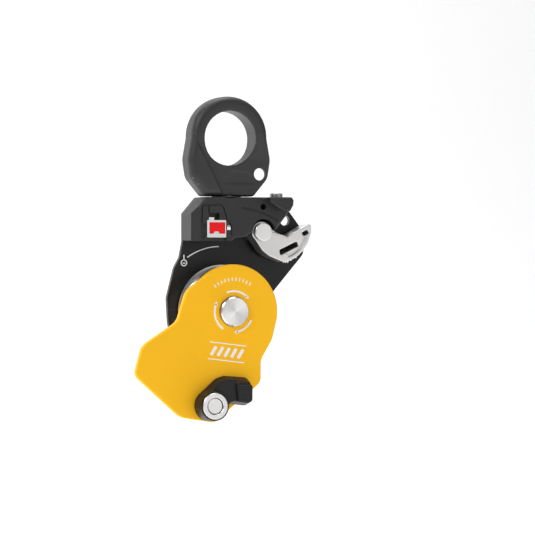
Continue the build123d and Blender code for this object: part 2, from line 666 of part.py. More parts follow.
def cam_spring():
    """A torsion spring's turn under the pivot's head, with a leg on the cam's arm."""
    x, z = at(*CAM_PIVOT)
    leg_x, leg_z = at(*CAM_SPRING_LEG_END)
    turn = Pos(x, CAM_SPRING_DEPTH, z) * Rot(90, 0, 0) * Torus(CAM_SPRING_RADIUS, CAM_SPRING_WIRE)
    start = (x + CAM_SPRING_RADIUS, CAM_SPRING_DEPTH, z)
    run = Edge.make_line(start, (leg_x, CAM_SPRING_DEPTH, leg_z))
    section = Plane(origin=run @ 0, z_dir=run % 0) * Circle(CAM_SPRING_WIRE)
    return turn + sweep(section, path=Wire([run]))


# ---------------------------------------------------------------- moving side plate


def moving_side_plate():
    face = rounded(SWING_OUTLINE) + Pos(*at(0, 0)) * Circle(SWING_ROUND)
    face &= Pos(*at(0, 0)) * Circle(PLATE_SWEEP)
    plate = slab(face, -PLATE_OUTER, -PLATE_INNER)
    plate = chamfer(front_edges(plate), PLATE_CHAMFER)
    for spot, radius in (((0, 0), PLATE_BUSH), (CATCH_SPOT, POST_NECK)):
        plate -= drum(radius, -PLATE_OUTER - OVER, -PLATE_INNER + OVER, spot)
    return plate


def plate_bushing():
    return tube(PLATE_BUSH, AXLE_RADIUS + RUN_GAP, -PLATE_OUTER, -PLATE_INNER)


def catch_post():
    post = drum(POST_RADIUS, POST_FRONT, -PLATE_OUTER, CATCH_SPOT)
    post += drum(POST_NECK, -PLATE_OUTER, -PLATE_INNER, CATCH_SPOT)
    post -= drum(POST_WELL, POST_FRONT - OVER, POST_WELL_FLOOR, CATCH_SPOT)
    return post - drum(LOCK_PIN + RUN_GAP, POST_WELL_FLOOR - OVER, 0, CATCH_SPOT)


def catch_ring():
    ring = tube(RING_RADIUS, POST_WELL, RING_FRONT, POST_FRONT, CATCH_SPOT)
    return chamfer(front_edges(ring), RING_CHAMFER)


def raised_form(corners, height, taper, rounding):
    """A tapered form that stands on the lever's back plane, with its front edge rounded."""
    form = extrude(Plane.XZ.offset(-CATCH_BACK) * rounded(corners), amount=height, taper=taper)
    return fillet(form.faces().sort_by(Axis.Y)[0].edges(), rounding)


def catch_lever():
    """The thumb lever: a tapered boss about the post and an arm with a raised pad."""
    x, z = at(*CATCH_SPOT)
    boss = Cone(BOSS_BACK_RADIUS, BOSS_FRONT_RADIUS, CATCH_BACK - CATCH_FRONT, align=UPWARD)
    lever = raised_form(LEVER_OUTLINE, LEVER_HIGH, LEVER_TAPER, LEVER_ROUND)
    lever += raised_form(THUMB_OUTLINE, THUMB_HIGH, THUMB_TAPER, THUMB_ROUND)
    lever += Pos(x, CATCH_BACK, z) * Rot(90, 0, 0) * boss
    lever -= drum(POST_RADIUS + RUN_GAP, CATCH_FRONT - OVER, CATCH_BACK + OVER, CATCH_SPOT)
    return lever - drum(RING_RADIUS + 2 * RUN_GAP, CATCH_FRONT - OVER, POST_FRONT + 2 * RUN_GAP, CATCH_SPOT)


def catch_bolt():
    disc = drum(DISC_RADIUS, DISC_FRONT, DISC_BACK, CATCH_SPOT)
    pin = drum(LOCK_PIN, DISC_BACK, -PLATE_INNER, CATCH_SPOT)
    return chamfer(front_edges(disc), DISC_CHAMFER) + chamfer(back_edges(pin), LOCK_PIN_CHAMFER)


def catch_spring():
    x, z = at(*CATCH_SPOT)
    spring = coil(CATCH_SPRING_RADIUS, CATCH_SPRING_WIRE, CATCH_SPRING_PITCH, CATCH_SPRING_TURNS)
    return Pos(x, CATCH_SPRING_FOOT, z) * Rot(90, 0, 0) * spring


# ---------------------------------------------------------------- all pieces

MAKERS = [
    swivel_eye, swivel_bolt, swivel_washers,
    head_block, fixed_side_plate, head_rivets, hook_block, hook_screw,
    indicator_slider, indicator_red_tab, indicator_spring,
    sheave, bearing_inner_races, bearing_outer_races, bearing_balls, bearing_cages, bearing_seals,
    sheave_axle, axle_nut, axle_spacers,
    cam, cam_bushing, cam_pivot_pin, cam_pin_spacer, cam_pin_clip, cam_spring,
    moving_side_plate, plate_bushing,
    catch_post, catch_ring, catch_lever, catch_bolt, catch_spring,
]
PARTS = {make.__name__: make for make in MAKERS}

os.makedirs("parts", exist_ok=True)
for name, make in PARTS.items():
    export_step(make(), f"parts/{name}.step")
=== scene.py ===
"""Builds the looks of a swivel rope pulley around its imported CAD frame.

Every length is in metres, in the part's own frame: +Z up, front is -Y, and the origin is the
centre of the swivel eye's hole.
"""

from __future__ import annotations

import logging
import math
from dataclasses import dataclass, field
from enum import Enum
from typing import Sequence

import bmesh
import bpy
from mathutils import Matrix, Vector

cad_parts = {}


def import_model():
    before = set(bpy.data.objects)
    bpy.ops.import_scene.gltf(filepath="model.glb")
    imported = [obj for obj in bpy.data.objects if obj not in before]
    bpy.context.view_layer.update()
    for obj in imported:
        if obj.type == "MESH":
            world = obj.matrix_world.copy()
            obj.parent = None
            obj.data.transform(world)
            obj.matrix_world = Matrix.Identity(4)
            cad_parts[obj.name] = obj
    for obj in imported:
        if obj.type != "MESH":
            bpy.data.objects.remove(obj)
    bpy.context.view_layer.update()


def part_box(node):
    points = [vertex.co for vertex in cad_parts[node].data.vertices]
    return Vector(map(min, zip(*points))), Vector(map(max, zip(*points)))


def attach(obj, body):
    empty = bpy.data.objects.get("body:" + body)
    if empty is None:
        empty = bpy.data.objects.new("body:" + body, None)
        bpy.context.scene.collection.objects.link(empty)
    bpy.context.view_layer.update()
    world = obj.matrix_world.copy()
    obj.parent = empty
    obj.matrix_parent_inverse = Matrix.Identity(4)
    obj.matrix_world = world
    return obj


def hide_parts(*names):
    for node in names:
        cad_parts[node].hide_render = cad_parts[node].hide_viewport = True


LOG = logging.getLogger("rope_pulley")
MM = 0.001
WELD = 0.0005 * MM
QUARTER_TURN = 90.0
FLAT_FRONT = (math.radians(QUARTER_TURN), 0.0, 0.0)
Colour = tuple[float, float, float]
Point = tuple[float, float]
Place = tuple[float, float, float]

GRAIN_DETAIL = 4.0
BRUSH_DETAIL = 3.0
TURNED_DETAIL = 2.0
DRIFT_DETAIL = 2.0
GRAIN_DRIFT_SCALE = 60.0
BRUSH_DRIFT_SCALE = 90.0
BRUSH_STRETCH = (0.06, 1.0, 1.0)
SHEEN_LOBES = 2.0
EDGE_BEND = (0.53, 0.62)
PATCH_SCALE = 160.0
PATCH_DETAIL = 3.0
PATCH_RANGE = (0.42, 0.62)
SCRATCH_TURN = (0.3, 0.9, 0.2)
SCRATCH_STRETCH = (0.05, 1.0, 1.0)
SCRATCH_SCALE = 700.0
SCRATCH_RANGE = (0.70, 0.76)
SPREAD_SCALE = 45.0
SPREAD_RANGE = (0.50, 0.66)
MARK_DETAIL = 1.0
ROUGHNESS_SWING = 0.12
RUBBED_ROUGHNESS_DROP = 0.12
TURNED_SCALE = 1800.0
TURNED_RELIEF = 0.15
# How far the painted sheen swings a turned finish's colour round its axis.
TURNED_PAINTED_SHEEN = 0.16


class Pattern(Enum):
    """The fine surface pattern that a finish carries."""

    GRAIN = "grain"
    BRUSHED = "brushed"
    TURNED = "turned"
    MOULDED = "moulded"


# ------------------------------------------------------------------ shader groups


@dataclass
class Graph:
    """A node tree under construction, with short ways to add and join nodes."""

    tree: bpy.types.NodeTree

    def add(self, kind: str, **values: object) -> bpy.types.Node:
        """Add a node.

        Args:
            kind: The node's Blender type, such as "ShaderNodeMath".
            **values: Node properties, such as operation="ADD".

        Returns:
            The new node.
        """
        node = self.tree.nodes.new(kind)
        for name, value in values.items():
            setattr(node, name, value)
        return node

    def join(self, source: bpy.types.NodeSocket, target: bpy.types.NodeSocket) -> None:
        """Link an output socket to an input socket."""
        self.tree.links.new(source, target)

    def math(self, operation: str, *values: object) -> bpy.types.NodeSocket:
        """Add a Math node.

        Args:
            operation: The node's operation.
            *values: A socket or a number for each of its inputs.

        Returns:
            The node's output socket.
        """
        node = self.add("ShaderNodeMath", operation=operation)
        for socket, value in zip(node.inputs, values):
            if isinstance(value, bpy.types.NodeSocket):
                self.join(value, socket)
            else:
                socket.default_value = value
        return node.outputs[0]

    def ramp(self, value: bpy.types.NodeSocket, low: float, high: float) -> bpy.types.NodeSocket:
        """Stretch the values between low and high to 0 to 1, smoothly.

        Args:
            value: The socket to stretch.
            low: The value that becomes 0.
            high: The value that becomes 1.

        Returns:
            The stretched value's socket.
        """
        node = self.add("ShaderNodeMapRange", interpolation_type="SMOOTHSTEP")
        self.join(value, node.inputs["Value"])
        node.inputs["From Min"].default_value = low
        node.inputs["From Max"].default_value = high
        return node.outputs["Result"]

    def noise(self, vector: bpy.types.NodeSocket, scale: object, detail: float = 3.0) -> bpy.types.NodeSocket:
        """Add a noise texture.

        Args:
            vector: The coordinates' socket.
            scale: A number, or the socket that drives the scale.
            detail: The number of octaves.

        Returns:
            The noise value's socket.
        """
        node = self.add("ShaderNodeTexNoise")
        self.join(vector, node.inputs["Vector"])
        node.inputs["Detail"].default_value = detail
        if isinstance(scale, bpy.types.NodeSocket):
            self.join(scale, node.inputs["Scale"])
        else:
            node.inputs["Scale"].default_value = scale
        return node.outputs["Fac"]


def new_group(name: str, inputs: dict[str, float], outputs: Sequence[str]) -> tuple[Graph, dict, dict]:
    """Start a shader node group with float inputs and outputs.

    Args:
        name: The group's name.
        inputs: Each input's name and default value.
        outputs: Each output's name.

    Returns:
        The graph, the input sockets by name and the output sockets by name.
    """
    tree = bpy.data.node_groups.new(name, "ShaderNodeTree")
    for label, value in inputs.items():
        socket = tree.interface.new_socket(label, in_out="INPUT", socket_type="NodeSocketFloat")
        socket.default_value = value
    for label in outputs:
        tree.interface.new_socket(label, in_out="OUTPUT", socket_type="NodeSocketFloat")
    graph = Graph(tree)
    start = graph.add("NodeGroupInput")
    end = graph.add("NodeGroupOutput")
    return graph, {s.name: s for s in start.outputs if s.name}, {s.name: s for s in end.inputs if s.name}


def grain_group() -> bpy.types.NodeTree:
    """Fine cast or blasted grain: a height, and a slow drift of tone."""
    graph, given, made = new_group("fine_grain", {"Scale": 2500.0}, ("Height", "Drift and painted sheen"))
    place = graph.add("ShaderNodeTexCoord").outputs["Object"]
    graph.join(graph.noise(place, given["Scale"], GRAIN_DETAIL), made["Height"])
    graph.join(graph.noise(place, GRAIN_DRIFT_SCALE, DRIFT_DETAIL), made["Drift and painted sheen"])
    return graph.tree


def brushed_group() -> bpy.types.NodeTree:
    """Short brush lines along X: a height, and a slow drift of tone."""
    graph, given, made = new_group("brushed_lines", {"Scale": 900.0}, ("Height", "Drift and painted sheen"))
    place = graph.add("ShaderNodeTexCoord").outputs["Object"]
    squeeze = graph.add("ShaderNodeMapping")
    squeeze.inputs["Scale"].default_value = BRUSH_STRETCH
    graph.join(place, squeeze.inputs["Vector"])
    lines = graph.noise(squeeze.outputs["Vector"], given["Scale"], BRUSH_DETAIL)
    graph.join(lines, made["Height"])
    graph.join(graph.noise(place, BRUSH_DRIFT_SCALE, DRIFT_DETAIL), made["Drift and painted sheen"])
    return graph.tree


def turned_group() -> bpy.types.NodeTree:
    """Lathe lines around an axis along Y: a height, and a painted sheen that swings lighter and darker in
    lobes round the axis.
    """
    graph, given, made = new_group(
        "turned_lines_and_painted_sheen", {"Scale": 1500.0, "Centre X": 0.0, "Centre Z": 0.0}, ("Height", "Drift and painted sheen"))
    place = graph.add("ShaderNodeTexCoord").outputs["Object"]
    split = graph.add("ShaderNodeSeparateXYZ")
    graph.join(place, split.inputs[0])
    across = graph.math("SUBTRACT", split.outputs["X"], given["Centre X"])
    upward = graph.math("SUBTRACT", split.outputs["Z"], given["Centre Z"])
    square = graph.math("ADD", graph.math("MULTIPLY", across, across), graph.math("MULTIPLY", upward, upward))
    radius = graph.math("SQRT", square)
    ring = graph.add("ShaderNodeCombineXYZ")
    graph.join(radius, ring.inputs["X"])
    graph.join(graph.noise(ring.outputs[0], given["Scale"], TURNED_DETAIL), made["Height"])
    # Painted sheen: light and dark lobes round the axis stand in for the turned face's reflection.
    angle = graph.math("ARCTAN2", upward, across)
    sweep = graph.math("SINE", graph.math("MULTIPLY", angle, SHEEN_LOBES))
    graph.join(graph.math("MULTIPLY_ADD", sweep, 0.5, 0.5), made["Drift and painted sheen"])
    return graph.tree


def wear_group() -> bpy.types.NodeTree:
    """Handling marks: a mask of rubbed edges, and a mask of sparse fine scratches."""
    graph, given, made = new_group("handling_wear", {"Edges": 1.0, "Scratches": 1.0}, ("Edge", "Scratch"))
    place = graph.add("ShaderNodeTexCoord").outputs["Object"]
    bend = graph.add("ShaderNodeNewGeometry").outputs["Pointiness"]
    patch = graph.noise(place, PATCH_SCALE, PATCH_DETAIL)
    edge = graph.math("MULTIPLY", graph.ramp(bend, *EDGE_BEND), graph.ramp(patch, *PATCH_RANGE))
    graph.join(graph.math("MULTIPLY", edge, given["Edges"]), made["Edge"])
    turn = graph.add("ShaderNodeMapping")
    turn.inputs["Rotation"].default_value = SCRATCH_TURN
    turn.inputs["Scale"].default_value = SCRATCH_STRETCH
    graph.join(place, turn.inputs["Vector"])
    streak = graph.ramp(graph.noise(turn.outputs["Vector"], SCRATCH_SCALE, MARK_DETAIL), *SCRATCH_RANGE)
    spread = graph.ramp(graph.noise(place, SPREAD_SCALE, MARK_DETAIL), *SPREAD_RANGE)
    sparse = graph.math("MULTIPLY", streak, spread)
    graph.join(graph.math("MULTIPLY", sparse, given["Scratches"]), made["Scratch"])
    return graph.tree


@dataclass
class Workshop:
    """The shader groups that the finishes share, and the finishes' materials, each built once."""

    patterns: dict[Pattern, bpy.types.NodeTree] = field(default_factory=dict)
    wear: bpy.types.NodeTree | None = None
    materials: dict[str, bpy.types.Material] = field(default_factory=dict)

    def open(self) -> None:
        """Build every shared group."""
        makers = {Pattern.GRAIN: grain_group, Pattern.BRUSHED: brushed_group, Pattern.TURNED: turned_group}
        self.patterns = {pattern: maker() for pattern, maker in makers.items()}
        self.patterns[Pattern.MOULDED] = self.patterns[Pattern.GRAIN]
        self.wear = wear_group()


WORKSHOP = Workshop()


@dataclass(frozen=True)
class Finish:
    """A surface finish, and how its material is mixed from the shared groups."""

    name: str
    colour: Colour
    roughness: float
    metallic: float = 0.0
    pattern: Pattern = Pattern.GRAIN
    pattern_scale: float = 2500.0
    relief: float = 0.05
    relief_depth: float = 0.02 * MM
    # How far the colour swings with the pattern: a random change of tone, and on turned finishes a painted
    # sheen.
    drift_and_sheen: float = 0.06
    bare: Colour = (0.55, 0.55, 0.55)
    edges: float = 0.4
    scratches: float = 0.3
    specular: float = 0.5
    centre: Point = (0.0, 0.0)

    def material(self) -> bpy.types.Material:
        """Make the material, or return the one already made.

        Returns:
            The finish's node material.
        """
        if self.name not in WORKSHOP.materials:
            WORKSHOP.materials[self.name] = self.mix()
        return WORKSHOP.materials[self.name]

    def mix(self) -> bpy.types.Material:
        """Build the material's nodes.

        Returns:
            The new material.
        """
        material = bpy.data.materials.new(self.name)
        material.use_nodes = True
        graph = Graph(material.node_tree)
        shader = material.node_tree.nodes["Principled BSDF"]
        shader.inputs["Metallic"].default_value = self.metallic
        shader.inputs["Specular IOR Level"].default_value = self.specular
        pattern = graph.add("ShaderNodeGroup", node_tree=WORKSHOP.patterns[self.pattern])
        pattern.inputs["Scale"].default_value = self.pattern_scale
        if self.pattern is Pattern.TURNED:
            pattern.inputs["Centre X"].default_value = self.centre[0]
            pattern.inputs["Centre Z"].default_value = self.centre[1]
        wear = graph.add("ShaderNodeGroup", node_tree=WORKSHOP.wear)
        wear.inputs["Edges"].default_value = self.edges
        wear.inputs["Scratches"].default_value = self.scratches
        self._paint(graph, shader, pattern, wear)
        self._roughen(graph, shader, pattern, wear)
        bump = graph.add("ShaderNodeBump")
        bump.inputs["Strength"].default_value = self.relief
        bump.inputs["Distance"].default_value = self.relief_depth
        graph.join(pattern.outputs["Height"], bump.inputs["Height"])
        graph.join(bump.outputs["Normal"], shader.inputs["Normal"])
        return material

    def _paint(self, graph: Graph, shader: bpy.types.Node, pattern: bpy.types.Node,
               wear: bpy.types.Node) -> None:
        """Colour the surface: its tone with a slow random swing, a painted sheen on turned finishes, and bare
        metal where rubbed.
        """
        # A darker and a lighter copy of the colour; on turned finishes the swing between them is painted
        # sheen.
        drift_and_sheen = graph.add("ShaderNodeMix", data_type="RGBA")
        dark = tuple(c * (1.0 - self.drift_and_sheen) for c in self.colour)
        light = tuple(min(1.0, c * (1.0 + self.drift_and_sheen)) for c in self.colour)
        drift_and_sheen.inputs["A"].default_value = (*dark, 1.0)
        drift_and_sheen.inputs["B"].default_value = (*light, 1.0)
        graph.join(pattern.outputs["Drift and painted sheen"], drift_and_sheen.inputs["Factor"])
        rubbed = graph.add("ShaderNodeMix", data_type="RGBA")
        rubbed.inputs["B"].default_value = (*self.bare, 1.0)
        mask = graph.math("MAXIMUM", wear.outputs["Edge"], wear.outputs["Scratch"])
        graph.join(mask, rubbed.inputs["Factor"])
        graph.join(drift_and_sheen.outputs["Result"], rubbed.inputs["A"])
        graph.join(rubbed.outputs["Result"], shader.inputs["Base Color"])

    def _roughen(self, graph: Graph, shader: bpy.types.Node, pattern: bpy.types.Node,
                 wear: bpy.types.Node) -> None:
        """Vary the roughness with the pattern, and lower it where the surface is rubbed."""
        lowest = self.roughness - ROUGHNESS_SWING / 2
        varied = graph.math("MULTIPLY_ADD", pattern.outputs["Height"], ROUGHNESS_SWING, lowest)
        rubbed = graph.math("MULTIPLY", wear.outputs["Edge"], -RUBBED_ROUGHNESS_DROP)
        graph.join(graph.math("ADD", varied, rubbed), shader.inputs["Roughness"])


FORGED = Finish("forged_dark_alloy", (0.034, 0.034, 0.035), 0.46, 0.20, relief=0.35, drift_and_sheen=0.10,
                pattern_scale=3200.0, bare=(0.20, 0.20, 0.20), edges=0.45, scratches=0.10, specular=0.4)
HEAD = Finish("dark_head_alloy", (0.026, 0.026, 0.027), 0.48, 0.15, relief=0.20, drift_and_sheen=0.08,
              pattern_scale=3600.0, edges=0.0, scratches=0.05, specular=0.35)
BLACK_PLATE = Finish("black_anodised_plate", (0.010, 0.010, 0.011), 0.32, 0.10, relief=0.10, drift_and_sheen=0.10,
                     edges=0.0, scratches=0.05, specular=0.3)
GOLD = Finish("golden_anodised_plate", (0.95, 0.50, 0.010), 0.50, 0.15, relief=0.10, drift_and_sheen=0.03,
              pattern_scale=4200.0, bare=(0.85, 0.62, 0.30), edges=0.0, scratches=0.04, specular=0.2)
SATIN_STEEL = Finish("satin_steel", (0.74, 0.73, 0.72), 0.34, 1.0, Pattern.BRUSHED, 1100.0, 0.15,
                     bare=(0.7, 0.7, 0.7), drift_and_sheen=0.08, edges=0.0, scratches=0.1)
CAST_STEEL = Finish("cast_satin_steel", (0.66, 0.65, 0.64), 0.34, 1.0, relief=0.14, drift_and_sheen=0.10,
                    pattern_scale=3000.0, bare=(0.72, 0.72, 0.72), edges=0.5, scratches=0.15)
ZINC_STEEL = Finish("zinc_steel", (0.40, 0.40, 0.41), 0.38, 1.0, relief=0.12, bare=(0.6, 0.6, 0.6), edges=0.0)
DARK_STEEL = Finish("blackened_steel", (0.035, 0.035, 0.036), 0.40, 0.5, relief=0.12, edges=0.0)
WIRE = Finish("spring_wire", (0.50, 0.50, 0.50), 0.25, 1.0, relief=0.05, bare=(0.7, 0.7, 0.7), edges=0.0)
BEARING = Finish("bearing_steel", (0.62, 0.63, 0.65), 0.14, 1.0, relief=0.02, bare=(0.8, 0.8, 0.8), edges=0.0)
BRONZE = Finish("bronze_bush", (0.42, 0.26, 0.10), 0.45, 1.0, relief=0.15, bare=(0.5, 0.35, 0.2), edges=0.0)
CAGE = Finish("cage_plastic", (0.16, 0.08, 0.03), 0.55, relief=0.1, bare=(0.2, 0.12, 0.06), edges=0.0)
SEAL = Finish("seal_rubber", (0.012, 0.012, 0.012), 0.6, relief=0.1, bare=(0.03, 0.03, 0.03), edges=0.0)
LEVER = Finish("black_lever_plastic", (0.011, 0.0105, 0.0105), 0.44, 0.0, Pattern.MOULDED, 5200.0, 0.30,
               bare=(0.06, 0.06, 0.06), drift_and_sheen=0.10, edges=0.5, scratches=0.2, specular=0.3)
RED = Finish("red_plastic", (0.80, 0.014, 0.018), 0.42, 0.0, Pattern.MOULDED, 4000.0, 0.05,
             bare=(0.85, 0.2, 0.2), drift_and_sheen=0.03, edges=0.0, scratches=0.0, specular=0.1)
WHITE_PRINT = Finish("white_print", (0.86, 0.86, 0.86), 0.5, 0.0, relief=0.05, bare=(0.8, 0.8, 0.8),
                     drift_and_sheen=0.02, edges=0.0, scratches=0.0)


def turned(finish_name: str, centre: Point, base: Finish = SATIN_STEEL, roughness: float = 0.26) -> Finish:
    """Make a lathe-turned version of a finish about one axis, with a painted sheen round the axis in its
    colour.

    Args:
        finish_name: The new finish's name.
        centre: The axis's place as (x, z).
        base: The finish whose colours it takes.
        roughness: The turned face's roughness.

    Returns:
        The turned finish.
    """
    return Finish(finish_name, base.colour, roughness, base.metallic, Pattern.TURNED, TURNED_SCALE,
                  TURNED_RELIEF, bare=base.bare, drift_and_sheen=TURNED_PAINTED_SHEEN, scratches=base.scratches, centre=centre)


# ------------------------------------------------------------------ studio


@dataclass
class Studio:
    """The floor, the lights and the camera."""

    look_at: Place = (0.0198, -0.0080, -0.0664)
    azimuth: float = -22.0
    distance: float = 1.5
    view_width: float = 0.2758
    sensor: float = 36.0
    floor_drop: float = 0.34
    floor_size: float = 8.0
    floor_glow: float = 0.35
    wall_height: float = 5.0
    sweep_radius: float = 1.5
    sweep_steps: int = 16
    surround_strength: float = 0.20

    def build(self) -> None:
        """Set up everything around the object."""
        self._backdrop()
        self._lights()
        self._camera()
        self._world()
        bpy.context.scene.view_settings.view_transform = "Standard"

    def _backdrop(self) -> None:
        """A pale floor that curves up into a pale wall."""
        bpy.ops.object.select_all(action="DESELECT")
        bpy.ops.mesh.primitive_plane_add(size=self.floor_size, location=(0.0, 0.0, -self.floor_drop))
        floor = bpy.context.active_object
        floor.name = "studio_floor"
        bpy.ops.object.mode_set(mode="EDIT")
        mesh = bmesh.from_edit_mesh(floor.data)
        for edge in mesh.edges:
            edge.select_set(all(v.co.y > 0 for v in edge.verts))
        mesh.select_flush_mode()
        bmesh.update_edit_mesh(floor.data)
        bpy.ops.mesh.extrude_region_move(TRANSFORM_OT_translate={"value": (0.0, 0.0, self.wall_height)})
        bpy.ops.object.mode_set(mode="OBJECT")
        bevel = floor.modifiers.new("sweep", "BEVEL")
        bevel.width = self.sweep_radius
        bevel.segments = self.sweep_steps
        bpy.ops.object.modifier_apply(modifier=bevel.name)
        bpy.ops.object.shade_smooth()
        material = bpy.data.materials.new("pale_floor")
        material.use_nodes = True
        shader = material.node_tree.nodes["Principled BSDF"]
        shader.inputs["Base Color"].default_value = (0.90, 0.90, 0.90, 1.0)
        shader.inputs["Roughness"].default_value = 0.9
        shader.inputs["Emission Color"].default_value = (1.0, 1.0, 1.0, 1.0)
        shader.inputs["Emission Strength"].default_value = self.floor_glow
        floor.data.materials.append(material)

    def _lights(self) -> None:
        """A key light at the upper left, a broad fill at the right front, and lights above and behind."""
        self._softbox("key", (-0.95, -0.60, 0.75), 0.5, 7.5)
        self._softbox("fill", (0.75, -1.20, 0.10), 1.5, 4.5)
        self._softbox("top", (0.1, 0.0, 1.1), 0.6, 5.0)
        self._softbox("back_left", (-0.9, 0.7, 0.2), 0.7, 5.0)
        self._softbox("backdrop_wash", (0.0, 1.2, 2.2), 2.0, 60.0, aim=(0.0, 2.6, 0.0))

    def _softbox(self, name: str, place: Place, size: float, power: float,
                 aim: Place | None = None) -> None:
        """Add one square area light.

        Args:
            name: The light's name.
            place: Where it hangs.
            size: Its side.
            power: Its power in watts.
            aim: The point that it faces, the object when none is given.
        """
        light = bpy.data.lights.new(name, "AREA")
        light.size = size
        light.energy = power
        lamp = bpy.data.objects.new(name, light)
        bpy.context.scene.collection.objects.link(lamp)
        lamp.location = place
        facing = Vector(aim or self.look_at) - Vector(place)
        lamp.rotation_euler = facing.to_track_quat("-Z", "Y").to_euler()

    def _camera(self) -> None:
        """A long lens at the object's left front, level with it."""
        turn = math.radians(self.azimuth)
        forward = Vector((-math.sin(turn), math.cos(turn), 0.0))
        data = bpy.data.cameras.new("camera")
        data.sensor_width = self.sensor
        data.lens = self.sensor * self.distance / self.view_width
        camera = bpy.data.objects.new("camera", data)
        bpy.context.scene.collection.objects.link(camera)
        camera.location = Vector(self.look_at) - forward * self.distance
        camera.rotation_euler = forward.to_track_quat("-Z", "Y").to_euler()
        bpy.context.scene.camera = camera

    def _world(self) -> None:
        """A soft, even, pale surround."""
        world = bpy.data.worlds.new("surround")
        world.use_nodes = True
        background = world.node_tree.nodes["Background"]
        background.inputs["Color"].default_value = (1.0, 1.0, 1.0, 1.0)
        background.inputs["Strength"].default_value = self.surround_strength
        bpy.context.scene.world = world


# ------------------------------------------------------------------ modelling by hand


def deselect() -> None:
    """Deselect every object, so that an operator acts on what is chosen next."""
    bpy.ops.object.select_all(action="DESELECT")


def take(piece: bpy.types.Object) -> None:
    """Make one piece the only one that operators act on."""
    deselect()
    piece.select_set(True)
    bpy.context.view_layer.objects.active = piece


def settle(name: str) -> bpy.types.Object:
    """Name the new primitive and move its place into its mesh.

    Args:
        name: The piece's name.

    Returns:
        The piece, with its object at the origin.
    """
    piece = bpy.context.active_object
    piece.name = name
    bpy.ops.object.transform_apply(location=True, rotation=True, scale=True)
    return piece


def modify(piece: bpy.types.Object, kind: str, **settings: object) -> None:
    """Apply one modifier to a piece.

    Args:
        piece: The piece.
        kind: The modifier's Blender type.
        **settings: The modifier's properties.
    """
    take(piece)
    modifier = piece.modifiers.new(kind.lower(), kind)
    for name, value in settings.items():
        setattr(modifier, name, value)
    bpy.ops.object.modifier_apply(modifier=modifier.name)


def paint(piece: bpy.types.Object, finish: Finish) -> None:
    """Give a piece one finish all over."""
    piece.data.materials.clear()
    piece.data.materials.append(finish.material())


def dress(node: str, finish: Finish) -> None:
    """Give a CAD node a finish.

    Args:
        node: The node's name.
        finish: Its finish.
    """
    paint(bpy.data.objects[node], finish)
    LOG.info("%s dressed in %s", node, finish.name)


@dataclass(frozen=True)
class Softening:
    """How a forged, cast or moulded piece gets its soft edges: a fine skin, smoothed a few times."""

    skin: float
    rounds: int
    strength: float = 0.5

    def copy(self, node: str, name: str) -> bpy.types.Object:
        """Make a soft-edged copy of a CAD node.

        Args:
            node: The node's name.
            name: The copy's name.

        Returns:
            The copy, smooth shaded.
        """
        piece = bpy.data.objects.new(name, bpy.data.objects[node].data.copy())
        bpy.context.scene.collection.objects.link(piece)
        take(piece)
        bpy.ops.object.mode_set(mode="EDIT")
        bpy.ops.mesh.select_all(action="SELECT")
        bpy.ops.mesh.remove_doubles(threshold=WELD)
        bpy.ops.object.mode_set(mode="OBJECT")
        modify(piece, "REMESH", mode="VOXEL", voxel_size=self.skin, use_smooth_shade=True)
        modify(piece, "SMOOTH", factor=self.strength, iterations=self.rounds)
        return piece


